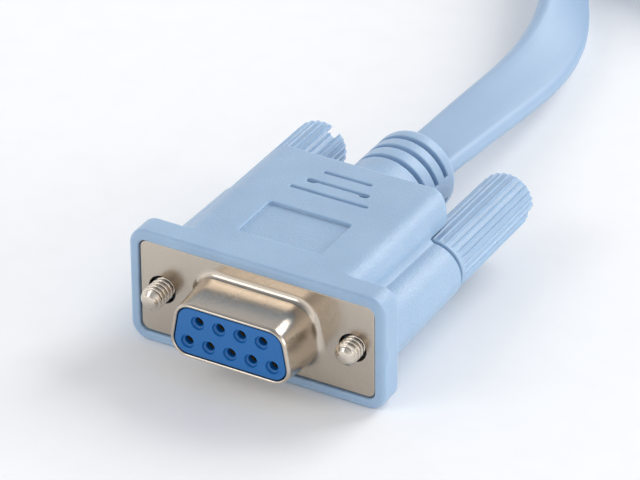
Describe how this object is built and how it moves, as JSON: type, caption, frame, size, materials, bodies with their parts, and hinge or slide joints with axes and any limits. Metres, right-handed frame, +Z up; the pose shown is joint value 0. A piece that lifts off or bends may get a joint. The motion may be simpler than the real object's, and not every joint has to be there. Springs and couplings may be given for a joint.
{
  "type": "console cable",
  "caption": "Flat serial console cable with a moulded 9-way D-sub socket and thumbscrews at one end and a clear modular plug at the other, its length wound in a strapped hank.",
  "frame": {"origin": "under the middle of the connector's bounding box, on the surface that the cable lies on", "axes": "-Y is the way the socket faces, the cable leaves towards +Y, +Z is up"},
  "size_m": [0.0623, 0.2432, 0.0148],
  "materials": {
    "hood_vinyl": "fine matt moulded texture",
    "cable_vinyl": "smooth satin extrusion",
    "nickel_plate": "drawn nickel-plated steel",
    "screw_steel": "nickel-plated rolled thread",
    "insulator_blue": "satin moulding",
    "contact_gold": "gold flash",
    "clear_polycarbonate": "clear gloss moulding",
    "strap_fabric": "woven hook-and-loop strap"
  },
  "bodies": {
    "connector": {"hood": "hood_vinyl", "front_shell": "nickel_plate", "rear_shell": "nickel_plate", "insulator": "insulator_blue", "contact_1": "contact_gold", "contact_2": "contact_gold", "contact_3": "contact_gold", "contact_4": "contact_gold", "contact_5": "contact_gold", "contact_6": "contact_gold", "contact_7": "contact_gold", "contact_8": "contact_gold", "contact_9": "contact_gold", "cable_lead": "cable_vinyl", "cable_hank": "cable_vinyl", "cable_tail": "cable_vinyl", "left_tie": "strap_fabric", "right_tie": "strap_fabric", "plug_body": "clear_polycarbonate", "plug_contact_1": "contact_gold", "plug_contact_2": "contact_gold", "plug_contact_3": "contact_gold", "plug_contact_4": "contact_gold", "plug_contact_5": "contact_gold", "plug_contact_6": "contact_gold", "plug_contact_7": "contact_gold", "plug_contact_8": "contact_gold"},
    "left_thumbscrew": {"left_screw": "screw_steel", "left_knob": "hood_vinyl"},
    "right_thumbscrew": {"right_screw": "screw_steel", "right_knob": "hood_vinyl"}
  },
  "joints": [
    {"name": "left_thumbscrew_turn", "type": "hinge", "parent": "connector", "child": "left_thumbscrew", "pos_m": [-0.01249, -0.01593, 0.0074], "axis": [0, -1, 0], "continuous": true},
    {"name": "right_thumbscrew_turn", "type": "hinge", "parent": "connector", "child": "right_thumbscrew", "pos_m": [0.01249, -0.01593, 0.0074], "axis": [0, -1, 0], "continuous": true}
  ]
}
